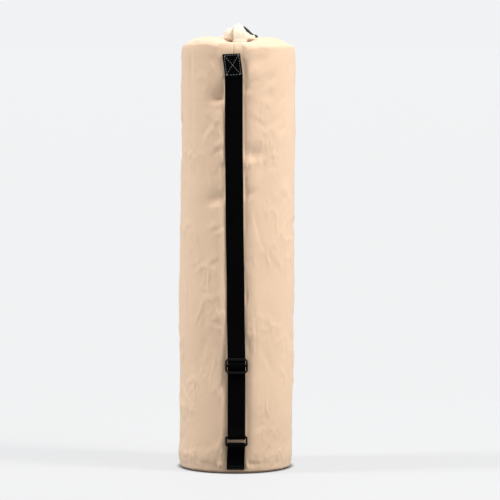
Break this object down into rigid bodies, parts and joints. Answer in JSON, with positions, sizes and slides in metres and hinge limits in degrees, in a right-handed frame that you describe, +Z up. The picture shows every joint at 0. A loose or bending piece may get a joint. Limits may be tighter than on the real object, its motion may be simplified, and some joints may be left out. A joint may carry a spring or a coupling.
{
  "type": "yoga mat bag",
  "caption": "Tall round canvas bag for a rolled mat, with a drawstring neck and a webbing strap down the front held by a slider and a ring.",
  "frame": {"origin": "middle of the round base's underside, on the surface that the bag stands on", "axes": "+Z up along the bag, -Y to the front with the strap, +X to the right seen from the front"},
  "size_m": [0.1676, 0.1756, 0.6348],
  "materials": {
    "canvas": "matte plain-weave cotton canvas, warm cream",
    "webbing": "black woven webbing",
    "plastic": "black moulded plastic, satin",
    "cord": "black braided cord"
  },
  "bodies": {
    "root": {"canvas_shell": "canvas", "base_panel": "canvas", "shoulder_strap": "webbing", "anchor_web": "webbing", "strap_slider": "plastic", "strap_ring": "plastic", "drawstring": "cord", "cord_stop": "plastic"}
  },
  "joints": []
}
